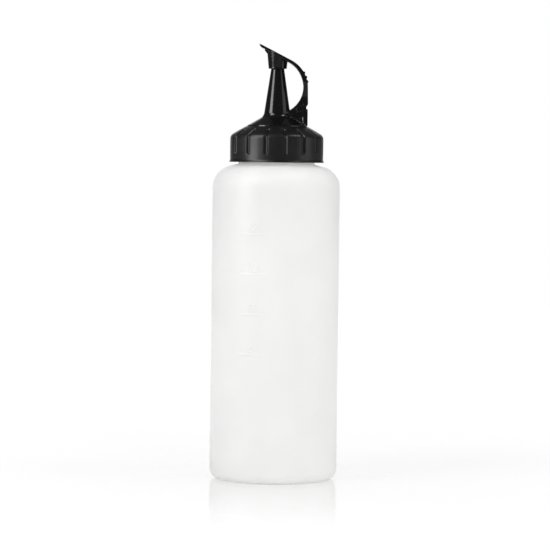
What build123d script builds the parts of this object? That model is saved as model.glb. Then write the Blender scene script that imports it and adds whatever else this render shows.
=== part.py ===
from build123d import *
import os
from math import acos, asin, atan2, cos, degrees, hypot, radians, sin, sqrt, tan

# Condiment squeeze bottle with a screw-on spout and a flip lid, in millimetres.
# The origin is the centre of the base, +Z is up and +X points to the hinge of the lid.

# Bottle
bottle_radius = 32.0
wall = 1.15
base_corner = 5.0
contact_inset = 6.2
punt_height = 3.0
punt_inset = 11.5
neck_wall = 1.6
neck_root_height = 157.5
neck_height = 12.8
shoulder_slope = 22.0
shoulder_corner = 9.0
neck_blend = 0.8
rim_round = 0.45

# Fill lines, raised on the front of the bottle to the left of its middle
line_count = 4
line_step = 19.8
lowest_line = 64.3
line_from = 10.0
line_to = 33.4
line_width = 0.9
line_proud = 0.25

# Thread between the neck and the cap, right-handed
thread_pitch = 4.2
thread_turns = 1.5
thread_depth = 1.6
thread_root_width = 2.4
thread_crest_width = 1.2
thread_play = 0.4
thread_sink = 0.3
thread_top_gap = 1.3
thread_runout = 9.0

# Screw cap
cap_radius = 23.4
cap_wall = 2.4
cap_lip_flare = 0.85
cap_lip_height = 1.2
cap_gap_to_shoulder = 1.6
cap_slope = 27.5
cap_corner = 2.0
cap_top_thickness = 2.0
cap_hole_play = 0.2
cap_clamp_play = 0.15
edge_round = 0.3

# Grip grooves of the cap
groove_count = 15
groove_radius = 0.9
groove_depth = 0.85
groove_foot = 4.0
groove_reach = 5.4
groove_turn = -1.5

# Seal ring on the neck rim
seal_thickness = 1.2
seal_overlap = 0.4

# Spout
rim_radius = 15.0
rim_proud = 0.8
flare_slope = 29.5
flare_blend = 6.0
spout_wall = 1.5
bell_wall = 1.6
flange_edge = 1.05
nozzle_length = 29.3
nozzle_tip_radius = 3.16
nozzle_taper = 8.4
tip_chamfer_height = 0.95
tip_flat_radius = 2.05
outlet_radius = 1.25
outlet_length = 3.0
countersink_radius = 1.75
countersink_depth = 0.3

# Hinge of the lid
hinge_rise = 8.0
pin_radius = 1.25
pin_play = 0.06
knuckle_radius = 2.5
knuckle_half_width = 2.1
ear_play = 0.25
ear_thickness = 1.85
ear_radius = 4.3
ear_back_angle = 22.0
boss_radius = 2.3
boss_proud = 0.3

# Arch that the finger reaches through, centred from the hinge axis
arch_inset = 11.45
arch_rise = 11.6
arch_radius = 13.7

# Flip lid
crown_rise = 6.9
tab_reach = 9.5
lid_slope = 27.2
lid_bend = 15.5
tab_under_slope = 51.0
arm_back_proud = 0.45
arm_back_lean = 2.2
heel_rise = 2.7
heel_round = 0.5
lid_half_width = 5.2
plate_thickness = 1.3
rib_half_width = 2.2
arm_narrow_rise = 7.4
arm_wide_rise = 13.4
arm_flank_round = 4.0
tab_end_half_width = 2.8
tab_taper_length = 9.5
tab_end_round = 2.4
tab_tip_round = 0.1

# Cup under the lid that covers the nozzle tip
tip_cover = 0.9
cup_mouth_radius = 4.4
cup_draft = 5.3
cup_bore_radius = 3.75
cup_lip_round = 0.25
cup_top_skin = 0.5

# Finger ridges on the back of the lid arm
ridge_count = 3
ridge_pitch = 2.2
ridge_rise = 14.1
ridge_radius = 0.9
ridge_proud = 0.65

# Plug in the cup
plug_disc_height = 1.3
plug_stem_radius = 2.2
plug_stem_height = 2.4
plug_face_gap = 0.05
plug_fit = 0.03
nub_radius = 1.3
nub_height = 0.25
nub_flat_radius = 0.7


def rise(run, slope):
    """Height gained over a run at a slope in degrees."""
    return run * tan(radians(slope))


def slant(thickness, slope):
    """Vertical thickness of a wall that is sloped in degrees."""
    return thickness / cos(radians(slope))


def thread_ridge(root_radius, depth, start_height):
    """A helical ridge on a wall, outward for a positive depth, faded out at both ends."""
    outward = 1 if depth > 0 else -1
    length = thread_pitch * thread_turns
    with BuildPart() as ridge:
        with BuildLine() as path:
            Helix(thread_pitch, length, root_radius, center=(0, 0, start_height))
        with BuildSketch(Plane(path.line @ 0, x_dir=(1, 0, 0), z_dir=path.line % 0)):
            with BuildLine():
                Polyline(
                    (-outward * thread_sink, -thread_root_width / 2),
                    (depth, -thread_crest_width / 2),
                    (depth, thread_crest_width / 2),
                    (-outward * thread_sink, thread_root_width / 2),
                    close=True,
                )
            make_face()
        sweep(path=path.line, is_frenet=True)
        for height, turn in ((start_height, 0), (start_height + length, 360 * thread_turns)):
            direction = Vector(cos(radians(turn)), sin(radians(turn)))
            if outward > 0:
                middle = direction * 2 * root_radius + Vector(0, 0, height)
                with Locations(Location(middle, (0, 0, turn))):
                    Box(2 * root_radius, 2 * root_radius, thread_pitch, mode=Mode.SUBTRACT)
            else:
                with Locations(direction * thread_runout + Vector(0, 0, height)):
                    Cylinder(root_radius - thread_runout, thread_pitch, mode=Mode.SUBTRACT)
    return ridge.part


# The neck fits inside the cap, and the closure is stacked up from the neck
cap_bore_radius = cap_radius - cap_wall
neck_radius = cap_bore_radius - thread_play - thread_depth
neck_top = neck_root_height + neck_height
seal_top = neck_top + seal_thickness
cap_bottom = neck_root_height + cap_gap_to_shoulder
neck_bore = neck_radius - neck_wall
thread_start = neck_top - thread_top_gap - thread_root_width / 2 - thread_pitch * thread_turns
cap_hole_radius = rim_radius + cap_hole_play
flange_radius = cap_bore_radius - thread_depth - cap_hole_play
cap_under_edge = seal_top + flange_edge + cap_clamp_play
cap_hole_top = cap_under_edge + rise(flange_radius - cap_hole_radius, cap_slope) + cap_top_thickness
rim_top = cap_hole_top + rim_proud
nozzle_top = rim_top + nozzle_length
hinge_x = rim_radius - ear_radius
hinge_z = rim_top + hinge_rise
arch_x = hinge_x - arch_inset
arch_z = hinge_z + arch_rise


def cap_surface(radius):
    """Height of the cap's sloped top at a radius."""
    return cap_hole_top - rise(radius - cap_hole_radius, cap_slope)


# Bottle: one revolved shell, with the fill lines and the neck thread on it
contact_radius = bottle_radius - contact_inset
punt_radius = bottle_radius - punt_inset
shoulder_z = neck_root_height - rise(bottle_radius - neck_radius, shoulder_slope)
inner_shift = slant(wall, shoulder_slope)
inner_radius = bottle_radius - wall
inner_shoulder_z = shoulder_z + rise(wall, shoulder_slope) - inner_shift
inner_neck_z = neck_root_height + rise(neck_wall, shoulder_slope) - inner_shift

neck_thread = thread_ridge(neck_radius, thread_depth, thread_start)

with BuildPart() as bottle:
    with BuildSketch(Plane.XZ):
        with BuildLine():
            FilletPolyline(
                (0, punt_height),
                (punt_radius, punt_height),
                (contact_radius, 0),
                (bottle_radius, 0),
                (bottle_radius, shoulder_z),
                (neck_radius, neck_root_height),
                (neck_radius, neck_top),
                (neck_bore, neck_top),
                (neck_bore, inner_neck_z),
                (inner_radius, inner_shoulder_z),
                (inner_radius, wall),
                (contact_radius - wall / 2, wall),
                (punt_radius - wall / 2, punt_height + wall),
                (0, punt_height + wall),
                radius=[
                    base_corner,
                    wall,
                    base_corner,
                    shoulder_corner,
                    neck_blend,
                    rim_round,
                    rim_round,
                    neck_blend,
                    shoulder_corner - wall,
                    base_corner - wall,
                    wall,
                    base_corner,
                ],
            )
            Line((0, punt_height + wall), (0, punt_height))
        make_face()
    revolve(axis=Axis.Z)
    for index in range(line_count):
        height = lowest_line + index * line_step
        with BuildSketch(Plane.XZ.rotated((0, 0, -90 - line_to))):
            with Locations((bottle_radius - wall / 2 + line_proud / 2, height)):
                Rectangle(wall + line_proud, line_width)
        revolve(axis=Axis.Z, revolution_arc=line_to - line_from)
    add(neck_thread)

bottle.part.label = "bottle"

# Screw cap: a revolved ring with the thread inside and the grip grooves outside
cap_thread = thread_ridge(cap_bore_radius, -thread_depth, thread_start + thread_pitch / 2)
cap_edge_z = cap_surface(cap_radius)
groove_path_radius = cap_radius + groove_radius - groove_depth
groove_lift = slant(groove_radius - groove_depth, cap_slope)
groove_top_radius = cap_radius - groove_reach

with BuildPart() as groove_cutter:
    with BuildLine(Plane.XZ) as groove_path:
        FilletPolyline(
            (groove_path_radius, cap_bottom + groove_foot + groove_radius),
            (groove_path_radius, cap_surface(groove_path_radius) + groove_lift),
            (groove_top_radius, cap_surface(groove_top_radius) + groove_lift),
            radius=cap_corner,
        )
    with BuildSketch(Plane(groove_path.line @ 0, z_dir=groove_path.line % 0)):
        Circle(groove_radius)
    sweep(path=groove_path.line)
    with Locations(groove_path.line @ 0, groove_path.line @ 1):
        Sphere(groove_radius)

with BuildPart() as screw_cap:
    with BuildSketch(Plane.XZ):
        with BuildLine():
            FilletPolyline(
                (cap_bore_radius, cap_bottom),
                (cap_radius + cap_lip_flare, cap_bottom),
                (cap_radius, cap_bottom + cap_lip_height),
                (cap_radius, cap_edge_z),
                (cap_hole_radius, cap_hole_top),
                (cap_hole_radius, cap_hole_top - cap_top_thickness),
                (cap_bore_radius, cap_surface(cap_bore_radius) - cap_top_thickness),
                radius=[edge_round, cap_lip_height, cap_corner, edge_round, edge_round],
            )
            Line(
                (cap_bore_radius, cap_surface(cap_bore_radius) - cap_top_thickness),
                (cap_bore_radius, cap_bottom),
            )
        make_face()
    revolve(axis=Axis.Z)
    groove_start = -90 + 180 / groove_count + groove_turn
    with PolarLocations(0, groove_count, start_angle=groove_start):
        add(groove_cutter.part, mode=Mode.SUBTRACT)
    add(cap_thread)

screw_cap.part.label = "screw_cap"

# Seal ring, gripped between the neck rim and the spout's flange
with BuildPart() as neck_seal:
    with BuildSketch(Plane.XY.offset(neck_top)):
        Circle(neck_radius)
        Circle(neck_bore - seal_overlap, mode=Mode.SUBTRACT)
    extrude(amount=seal_thickness)

neck_seal.part.label = "neck_seal"


# Spout: a revolved bell and nozzle, with the two ears of the hinge on its flare
def nozzle_radius(height):
    """Outer radius of the nozzle's cone at a height."""
    return nozzle_tip_radius + rise(nozzle_top - height, nozzle_taper)


flare_tan = tan(radians(flare_slope))
taper_tan = tan(radians(nozzle_taper))
flare_foot_z = rim_top + flare_tan * (rim_radius - nozzle_radius(rim_top)) / (1 - flare_tan * taper_tan)
bell_radius = rim_radius - bell_wall
under_top = rim_top - slant(spout_wall, flare_slope)
bell_top = under_top + rise(rim_radius - bell_radius, flare_slope)
bore_foot_radius = nozzle_radius(flare_foot_z) - slant(spout_wall, nozzle_taper)
bore_foot_z = under_top + rise(rim_radius - bore_foot_radius, flare_slope)
flange_top = cap_under_edge - cap_clamp_play
drum_foot = cap_surface(rim_radius) - cap_top_thickness - cap_clamp_play
tip_chamfer_z = nozzle_top - tip_chamfer_height
ear_inner = knuckle_half_width + ear_play
ear_outer = ear_inner + ear_thickness
boss_outer = ear_outer + boss_proud
hinge_reach = hypot(arch_inset, arch_rise)
hinge_bearing = -degrees(atan2(arch_rise, arch_inset))
ear_spread = degrees(
    acos((arch_radius**2 + hinge_reach**2 - ear_radius**2) / (2 * arch_radius * hinge_reach))
)

with BuildPart() as ears:
    with BuildSketch(Plane.XZ.offset(ear_inner), Plane.XZ.offset(-ear_outer)):
        with BuildLine():
            front = CenterArc((arch_x, arch_z), arch_radius, -90, hinge_bearing + ear_spread + 90)
            top_start = degrees(atan2((front @ 1).Y - hinge_z, (front @ 1).X - hinge_x))
            top = CenterArc((hinge_x, hinge_z), ear_radius, top_start, ear_back_angle - top_start)
            Polyline(
                top @ 1,
                (rim_radius, hinge_z),
                (rim_radius, drum_foot),
                (arch_x, drum_foot),
                front @ 0,
            )
        make_face()
    extrude(amount=ear_thickness)
    Cylinder(rim_radius, 2 * nozzle_top, mode=Mode.INTERSECT)

with BuildPart() as spout:
    with BuildSketch(Plane.XZ):
        with BuildLine():
            FilletPolyline(
                (0, seal_top),
                (flange_radius, seal_top),
                (flange_radius, flange_top),
                (rim_radius, drum_foot),
                (rim_radius, rim_top),
                (nozzle_radius(flare_foot_z), flare_foot_z),
                (nozzle_radius(tip_chamfer_z), tip_chamfer_z),
                (tip_flat_radius, nozzle_top),
                (0, nozzle_top),
                radius=[edge_round] * 4 + [flare_blend] + [edge_round] * 2,
            )
            Line((0, nozzle_top), (0, seal_top))
        make_face()
    revolve(axis=Axis.Z)
    add(ears.part)
    with Locations(Location((hinge_x, 0, hinge_z), (90, 0, 0))):
        Cylinder(boss_radius, 2 * boss_outer)
        Cylinder(ear_radius, 2 * ear_inner, mode=Mode.SUBTRACT)
        Cylinder(pin_radius + pin_play, 2 * boss_outer, mode=Mode.SUBTRACT)
    with BuildSketch(Plane.XZ):
        with BuildLine():
            FilletPolyline(
                (0, seal_top),
                (bell_radius, seal_top),
                (bell_radius, bell_top),
                (bore_foot_radius, bore_foot_z),
                (outlet_radius, nozzle_top - outlet_length),
                (outlet_radius, nozzle_top - countersink_depth),
                (countersink_radius, nozzle_top),
                (0, nozzle_top),
                radius=[0, spout_wall, flare_blend, outlet_radius, 0, 0],
            )
            Line((0, nozzle_top), (0, seal_top))
        make_face()
    revolve(axis=Axis.Z, mode=Mode.SUBTRACT)

spout.part.label = "spout"


# Flip lid: a curved strap with a thumb tab, a knuckle with two pins, and the cup
def lid_top(x):
    """Height of the straight top of the lid."""
    return nozzle_top + crown_rise - rise(x, lid_slope)


def tab_under(x):
    """Height of the underside of the thumb tab, which rises to its tip."""
    return lid_top(-tab_reach) - rise(x + tab_reach, tab_under_slope)


plate_drop = slant(plate_thickness, lid_slope)
plate_start_x = -tab_reach + plate_drop / (rise(1, tab_under_slope) - rise(1, lid_slope))
heel_x = rim_radius + arm_back_proud
heel_z = hinge_z + heel_rise
back_gap = lid_top(heel_x) - heel_z
bend_x = heel_x - back_gap * rise(1, arm_back_lean) / (1 - rise(1, arm_back_lean) * rise(1, lid_slope))
bend_run = lid_bend * tan(radians(90 - arm_back_lean - lid_slope) / 2)
bend_tilt = radians(lid_slope)
bend_arc_x = bend_x - bend_run * cos(bend_tilt) - lid_bend * sin(bend_tilt)
bend_arc_z = lid_top(bend_x) + bend_run * sin(bend_tilt) - lid_bend * cos(bend_tilt)
cup_mouth_z = nozzle_top - tip_cover
cup_top_z = lid_top(-cup_mouth_radius)
plug_face = nozzle_top + plug_face_gap
plug_top = plug_face + plug_disc_height
stem_top = plug_top + plug_stem_height
arch_top = degrees(asin((lid_top(cup_mouth_radius) - plate_drop - arch_z) / arch_radius))
knuckle_low = (
    hinge_x + knuckle_radius * cos(radians(hinge_bearing)),
    hinge_z + knuckle_radius * sin(radians(hinge_bearing)),
)

with BuildPart() as cup:
    with BuildSketch(Plane.XZ):
        with BuildLine():
            FilletPolyline(
                (0, plug_face),
                (cup_bore_radius, plug_face),
                (cup_bore_radius, cup_mouth_z),
                (cup_mouth_radius, cup_mouth_z),
                (cup_mouth_radius + rise(cup_top_z - cup_mouth_z, cup_draft), cup_top_z),
                (0, cup_top_z),
                radius=[0, cup_lip_round, cup_lip_round, 0],
            )
            Line((0, cup_top_z), (0, plug_face))
        make_face()
    revolve(axis=Axis.Z)
    split(
        bisect_by=Plane((0, 0, lid_top(0) - cup_top_skin), z_dir=(rise(1, lid_slope), 0, 1)),
        keep=Keep.BOTTOM,
    )

with BuildPart() as flip_lid:
    with BuildSketch(Plane.XZ):
        with BuildLine():
            inner = CenterArc((arch_x, arch_z), arch_radius, hinge_bearing, arch_top - hinge_bearing)
            FilletPolyline(
                inner @ 1,
                (plate_start_x, lid_top(plate_start_x) - plate_drop),
                (-tab_reach, lid_top(-tab_reach)),
                (bend_x, lid_top(bend_x)),
                (heel_x, heel_z),
                knuckle_low,
                inner @ 0,
                radius=[plate_thickness, tab_tip_round, lid_bend, heel_round, 0],
            )
        make_face()
        with Locations((hinge_x, hinge_z)):
            Circle(knuckle_radius)
    extrude(amount=lid_half_width, both=True)
    with BuildSketch(Plane.YZ):
        with BuildLine():
            FilletPolyline(
                (0, drum_foot),
                (knuckle_half_width, drum_foot),
                (knuckle_half_width, hinge_z + arm_narrow_rise),
                (lid_half_width, hinge_z + arm_wide_rise),
                (lid_half_width, lid_top(-2 * tab_reach)),
                (0, lid_top(-2 * tab_reach)),
                radius=[0, arm_flank_round, arm_flank_round, 0],
            )
            Line((0, lid_top(-2 * tab_reach)), (0, drum_foot))
        make_face()
        mirror(about=Plane.YZ)
    extrude(amount=2 * heel_x, both=True, mode=Mode.INTERSECT)
    with BuildSketch(Plane.XY):
        with BuildLine():
            FilletPolyline(
                (-tab_reach, 0),
                (-tab_reach, tab_end_half_width),
                (tab_taper_length - tab_reach, lid_half_width),
                (2 * heel_x, lid_half_width),
                (2 * heel_x, 0),
                radius=[tab_end_round, 2 * lid_half_width, 0],
            )
            Line((2 * heel_x, 0), (-tab_reach, 0))
        make_face()
        mirror(about=Plane.XZ)
    extrude(amount=2 * nozzle_top, mode=Mode.INTERSECT)
    with BuildSketch(Plane.XZ):
        with BuildLine():
            Polyline(
                (plate_start_x, tab_under(plate_start_x)),
                (-cup_bore_radius, tab_under(-cup_bore_radius)),
                (-cup_bore_radius, lid_top(-cup_bore_radius) - cup_top_skin),
                (plate_start_x, lid_top(plate_start_x) - cup_top_skin),
                close=True,
            )
        make_face()
    extrude(amount=rib_half_width, both=True)
    add(cup.part)
    for index in range(ridge_count):
        height = hinge_z + ridge_rise + index * ridge_pitch
        turn = asin((height - bend_arc_z) / lid_bend)
        seat = lid_bend - ridge_radius + ridge_proud
        with Locations(
            Location((bend_arc_x + seat * cos(turn), 0, bend_arc_z + seat * sin(turn)), (90, 0, 0))
        ):
            Cylinder(ridge_radius, 2 * lid_half_width)
    with Locations(Location((hinge_x, 0, hinge_z), (90, 0, 0))):
        Cylinder(pin_radius, 2 * boss_outer)
    with Locations((0, 0, (cup_mouth_z + plug_top) / 2)):
        Cylinder(cup_bore_radius, plug_top - cup_mouth_z, mode=Mode.SUBTRACT)
    with Locations((0, 0, (plug_face + stem_top) / 2)):
        Cylinder(plug_stem_radius, stem_top - plug_face, mode=Mode.SUBTRACT)

flip_lid.part.label = "flip_lid"

# Plug: a soft stepped disc held in the cup, with a shallow nub in the outlet
with BuildPart() as tip_seal:
    with BuildSketch(Plane.XZ):
        with BuildLine():
            Polyline(
                (0, plug_face - nub_height),
                (nub_flat_radius, plug_face - nub_height),
                (nub_radius, plug_face),
                (cup_bore_radius - plug_fit, plug_face),
                (cup_bore_radius - plug_fit, plug_top - plug_fit),
                (plug_stem_radius - plug_fit, plug_top - plug_fit),
                (plug_stem_radius - plug_fit, stem_top - plug_fit),
                (0, stem_top - plug_fit),
                close=True,
            )
        make_face()
    revolve(axis=Axis.Z)

tip_seal.part.label = "tip_seal"

os.makedirs("parts", exist_ok=True)
for piece in (bottle, screw_cap, neck_seal, spout, flip_lid, tip_seal):
    export_step(piece.part, f"parts/{piece.part.label}.step")
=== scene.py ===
import bmesh
import bpy
import numpy as np
from mathutils import Matrix, Vector


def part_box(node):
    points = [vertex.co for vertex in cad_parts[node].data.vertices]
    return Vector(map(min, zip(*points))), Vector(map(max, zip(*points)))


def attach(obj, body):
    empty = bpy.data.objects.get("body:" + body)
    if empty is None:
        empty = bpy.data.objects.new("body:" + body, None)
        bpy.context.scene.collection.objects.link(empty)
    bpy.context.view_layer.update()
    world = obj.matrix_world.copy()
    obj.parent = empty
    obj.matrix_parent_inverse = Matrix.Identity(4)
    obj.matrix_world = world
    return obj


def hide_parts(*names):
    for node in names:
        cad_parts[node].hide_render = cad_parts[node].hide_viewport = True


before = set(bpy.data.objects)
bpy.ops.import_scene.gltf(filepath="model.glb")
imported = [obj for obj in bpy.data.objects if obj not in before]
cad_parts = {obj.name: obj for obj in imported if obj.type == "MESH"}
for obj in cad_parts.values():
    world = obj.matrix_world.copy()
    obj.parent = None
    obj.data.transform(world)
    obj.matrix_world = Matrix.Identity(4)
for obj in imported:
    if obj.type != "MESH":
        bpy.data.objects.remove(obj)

mm = 0.001
touch = 0.01  # lengths that differ by less than this count as equal
smallArc, smallArcStep = 0.6, 18  # an arc of up to this radius takes steps of at least this many degrees
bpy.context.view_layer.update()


def nodeBox(node):
    # lowest and highest corner of a CAD node, in millimetres
    low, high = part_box(node)
    return np.array(low) / mm, np.array(high) / mm


def tangent(slope):
    return np.tan(np.radians(slope))


def cosine(slope):
    return np.cos(np.radians(slope))


def smoothStep(low, high, value):
    # 0 below low and 1 above high, with a cubic ease between them
    share = np.clip((value - low) / (high - low), 0, 1)
    return share * share * (3 - 2 * share)


def around(angles):
    # cosine and sine of angles in degrees
    return np.cos(np.radians(angles)), np.sin(np.radians(angles))


def together(*parts):
    # coordinates on a last axis, each stretched to the shape that they share
    return np.stack(np.broadcast_arrays(*parts), -1)


def direction(angle):
    # unit vectors in the plane of a profile
    return together(*around(angle))


def pick(size, names):
    # the values of several sizes of a piece
    return [size[name] for name in names.split()]


def roundedPath(corners, arcStep=6.0, closed=False):
    # Straight runs between corners (x, z, radius), where an arc that touches both runs rounds off a corner
    corners = np.array(corners, float)
    places, pieces = corners[:, :2], []
    for i, radius in enumerate(corners[:, 2]):
        here = places[i]
        if radius == 0 or (not closed and i in (0, len(places) - 1)):
            pieces.append(here[None])
            continue
        back = places[i - 1] - here
        ahead = places[(i + 1) % len(places)] - here
        back, ahead = back / np.hypot(*back), ahead / np.hypot(*ahead)
        half = 0.5 * np.arccos(np.clip(back @ ahead, -1, 1))
        centre = here + (back + ahead) / np.hypot(*(back + ahead)) * radius / np.sin(half)
        first = here + back * radius / np.tan(half) - centre
        last = here + ahead * radius / np.tan(half) - centre
        turn = np.arctan2(first[0] * last[1] - first[1] * last[0], first @ last)
        step = arcStep if radius > smallArc else max(arcStep, smallArcStep)
        angles = np.linspace(0, turn, max(3, int(np.ceil(abs(np.degrees(turn)) / step)) + 1))
        across = np.array([-first[1], first[0]])
        pieces.append(centre + np.cos(angles)[:, None] * first + np.sin(angles)[:, None] * across)
    return np.vstack(pieces)


def lengthsAlong(path):
    return np.concatenate([[0], np.cumsum(np.hypot(*np.diff(path, axis=0).T))])


def withStations(path, stations, gap):
    # the path with more points at the given lengths, apart from those too close to its own
    along = lengthsAlong(path)
    far = np.abs(stations[:, None] - along[None]).min(1) > gap
    every = np.sort(np.concatenate([along, stations[far & (stations > 0) & (stations < along[-1])]]))
    return together(*[np.interp(every, along, line) for line in path.T])


def evened(path, step, gap):
    return withStations(path, np.arange(0, lengthsAlong(path)[-1], step), gap)


def normalsOf(path, closed):
    # unit normals to the right of the path's direction, from central differences
    run = np.roll(path, -1, 0) - np.roll(path, 1, 0) if closed else np.gradient(path, axis=0)
    run = run / np.hypot(run[:, 0], run[:, 1])[:, None]
    return together(run[:, 1], -run[:, 0])


def turned(profile, angles):
    # Surface of revolution: the point (r, z) of the profile goes to (r cos a, r sin a, z)
    c, s = around(angles)
    return together(profile[:, :1] * c, profile[:, :1] * s, profile[:, 1:])


def fullTurn(columns):
    # evenly spaced angles round a full turn
    return np.arange(columns) * 360 / columns


def newObject(name, data):
    made = bpy.data.objects.new(name, data)
    bpy.context.scene.collection.objects.link(made)
    return made


def makePiece(name, grid, poles=(None, None), loopRows=False, sharp=50):
    # A closed mesh of a grid of points, with a fan to each pole, and its faces turned outwards
    rows, columns = grid.shape[:2]
    index = np.arange(rows * columns).reshape(rows, columns)
    below = index if loopRows else index[:-1]
    above = np.roll(index, -1, 0) if loopRows else index[1:]
    quads = together(below, np.roll(below, -1, 1), np.roll(above, -1, 1), above).reshape(-1, 4)
    faces = quads.tolist()
    points = grid.reshape(-1, 3)
    for pole, ring, turn in zip(poles, (index[0], index[-1]), (1, -1)):
        if pole is not None:
            faces += together(len(points), np.roll(ring, -1), ring)[:, ::turn].tolist()
            points = np.vstack([points, pole])
    corners = np.concatenate([quads[:, [0, 1, 2]], quads[:, [0, 2, 3]]])
    a, b, c = points[corners[:, 0]], points[corners[:, 1]], points[corners[:, 2]]
    middle = points.mean(0)
    if np.einsum("ij,ij->i", a - middle, np.cross(b - middle, c - middle)).sum() < 0:
        faces = [face[::-1] for face in faces]
    mesh = bpy.data.meshes.new(name)
    mesh.from_pydata(points * mm, [], faces)
    mesh.validate()
    mesh.shade_smooth()
    mesh.set_sharp_from_angle(angle=np.radians(sharp))
    return newObject(name, mesh)


def united(piece, others, sharp=32):
    # one closed solid from a piece and the others that overlap it, which are then removed
    for other in others:
        merge = piece.modifiers.new("merge", "BOOLEAN")
        merge.operation, merge.solver, merge.object = "UNION", "MANIFOLD", other
    bpy.context.view_layer.update()
    evaluated = piece.evaluated_get(bpy.context.evaluated_depsgraph_get())
    whole = bpy.data.meshes.new_from_object(evaluated)
    piece.modifiers.clear()
    piece.data = whole
    for other in others:
        bpy.data.objects.remove(other)
    cleaner = bmesh.new()
    cleaner.from_mesh(whole)
    bmesh.ops.remove_doubles(cleaner, verts=cleaner.verts, dist=0.002 * mm)
    bmesh.ops.dissolve_degenerate(cleaner, edges=cleaner.edges, dist=0.002 * mm)
    cleaner.to_mesh(whole)
    cleaner.free()
    whole.shade_smooth()
    whole.set_sharp_from_angle(angle=np.radians(sharp))
    return piece


# Surface effects that several materials share, each built once as a node group
def newGroup(name, inputs, outputs):
    # a shader node group with float or vector inputs, each with its usual value, and float outputs
    group = bpy.data.node_groups.new(name, "ShaderNodeTree")
    for title, value in inputs.items():
        kind = "NodeSocketVector" if value is None else "NodeSocketFloat"
        socket = group.interface.new_socket(title, in_out="INPUT", socket_type=kind)
        if value is not None:
            socket.default_value = value
    for title in outputs:
        group.interface.new_socket(title, in_out="OUTPUT", socket_type="NodeSocketFloat")
    return group, group.nodes.new("NodeGroupInput").outputs, group.nodes.new("NodeGroupOutput").inputs


def addNode(tree, kind, values, **settings):
    # a shader node with its settings, and a constant or a link on each socket that values names or numbers
    node = tree.nodes.new("ShaderNode" + kind)
    for title, setting in settings.items():
        setattr(node, title, setting)
    for title, value in values.items():
        if isinstance(value, bpy.types.NodeSocket):
            tree.links.new(value, node.inputs[title])
        else:
            node.inputs[title].default_value = value
    return node


def addNoise(tree, coordinates, scale, detail):
    return addNode(tree, "TexNoise", {"Vector": coordinates, "Scale": scale, "Detail": detail}).outputs["Fac"]


def addMath(tree, operation, total, *others):
    for value in others:
        total = addNode(tree, "Math", {0: total, 1: value}, operation=operation).outputs[0]
    return total


def addRange(tree, value, fromLow, fromHigh, toLow, toHigh):
    limits = dict(enumerate((value, fromLow, fromHigh, toLow, toHigh)))
    return addNode(tree, "MapRange", limits, interpolation_type="SMOOTHSTEP").outputs[0]


def makeMouldTexture():
    # Height of a spark-eroded mould: fine grain over a slow waviness left by shrinkage
    usual = {"Coordinates": None, "Grain Scale": 5200.0, "Wave Scale": 160.0, "Wave Share": 0.3}
    group, given, made = newGroup("mouldTexture", usual, ["Height"])
    grain = addNoise(group, given["Coordinates"], given["Grain Scale"], 3.0)
    wave = addNoise(group, given["Coordinates"], given["Wave Scale"], 1.0)
    height = addMath(group, "ADD", grain, addMath(group, "MULTIPLY", wave, given["Wave Share"]))
    group.links.new(height, made["Height"])
    return group


rubbing = {"patchScale": 55.0, "streakScale": 900.0, "streakSqueeze": (1.0, 1.0, 0.08)}


def makeHandling():
    # Roughness from handling: a base value, dulled in soft patches and polished along faint rubbed streaks
    usual = {"Coordinates": None, "Roughness": 0.4, "Patch": 0.05, "Streak": 0.04}
    group, given, made = newGroup("handling", usual, ["Roughness", "Mask"])
    cloud = addNoise(group, given["Coordinates"], rubbing["patchScale"], 3.0)
    patch = addRange(group, cloud, 0.35, 0.7, -1.0, 1.0)
    squeezed = {"Vector": given["Coordinates"], "Scale": rubbing["streakSqueeze"]}
    along = addNoise(group, addNode(group, "Mapping", squeezed).outputs[0], rubbing["streakScale"], 2.0)
    streak = addRange(group, along, 0.55, 0.75, 0.0, -1.0)
    duller = addMath(group, "MULTIPLY", patch, given["Patch"])
    shinier = addMath(group, "MULTIPLY", streak, given["Streak"])
    total = addMath(group, "ADD", duller, shinier, given["Roughness"])
    group.links.new(total, made["Roughness"])
    group.links.new(addRange(group, patch, -1.0, 1.0, 0.0, 1.0), made["Mask"])
    return group


mouldTexture = makeMouldTexture()
handling = makeHandling()


def makePlastic(name, look):
    # A moulded plastic: constants on the shader's sockets, grain in a bump, and handling in the roughness
    material = bpy.data.materials.new(name)
    material.use_nodes = True
    tree = material.node_tree
    shader = tree.nodes["Principled BSDF"]
    for title, value in look["shader"].items():
        shader.inputs[title].default_value = value
    place = {"Coordinates": addNode(tree, "TexCoord", {}).outputs["Object"]}
    wear = dict(zip(("Roughness", "Patch", "Streak"), look["handling"]))
    used = addNode(tree, "Group", place | wear, node_tree=handling).outputs
    dark, light = [(*tone, 1.0) for tone in look["tones"]]
    tone = addNode(tree, "Mix", {"Factor": used["Mask"], "A": dark, "B": light}, data_type="RGBA")
    tone = tone.outputs["Result"]
    scales = dict(zip(("Grain Scale", "Wave Scale", "Wave Share"), look["texture"]))
    grain = addNode(tree, "Group", place | scales, node_tree=mouldTexture).outputs["Height"]
    strength, height = look["bump"]
    relief = {"Height": grain, "Strength": strength, "Distance": height * mm}
    bump = addNode(tree, "Bump", relief).outputs["Normal"]
    for title, value in (("Roughness", used["Roughness"]), ("Base Color", tone), ("Normal", bump)):
        tree.links.new(value, shader.inputs[title])
    if "backlit" in look:
        # the wall also passes on light from behind, spread evenly
        through = addNode(tree, "BsdfTranslucent", {"Color": tone})
        both = addNode(tree, "MixShader", {0: look["backlit"], 1: shader.outputs[0], 2: through.outputs[0]})
        tree.links.new(both.outputs[0], tree.nodes["Material Output"].inputs["Surface"])
    return material


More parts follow.
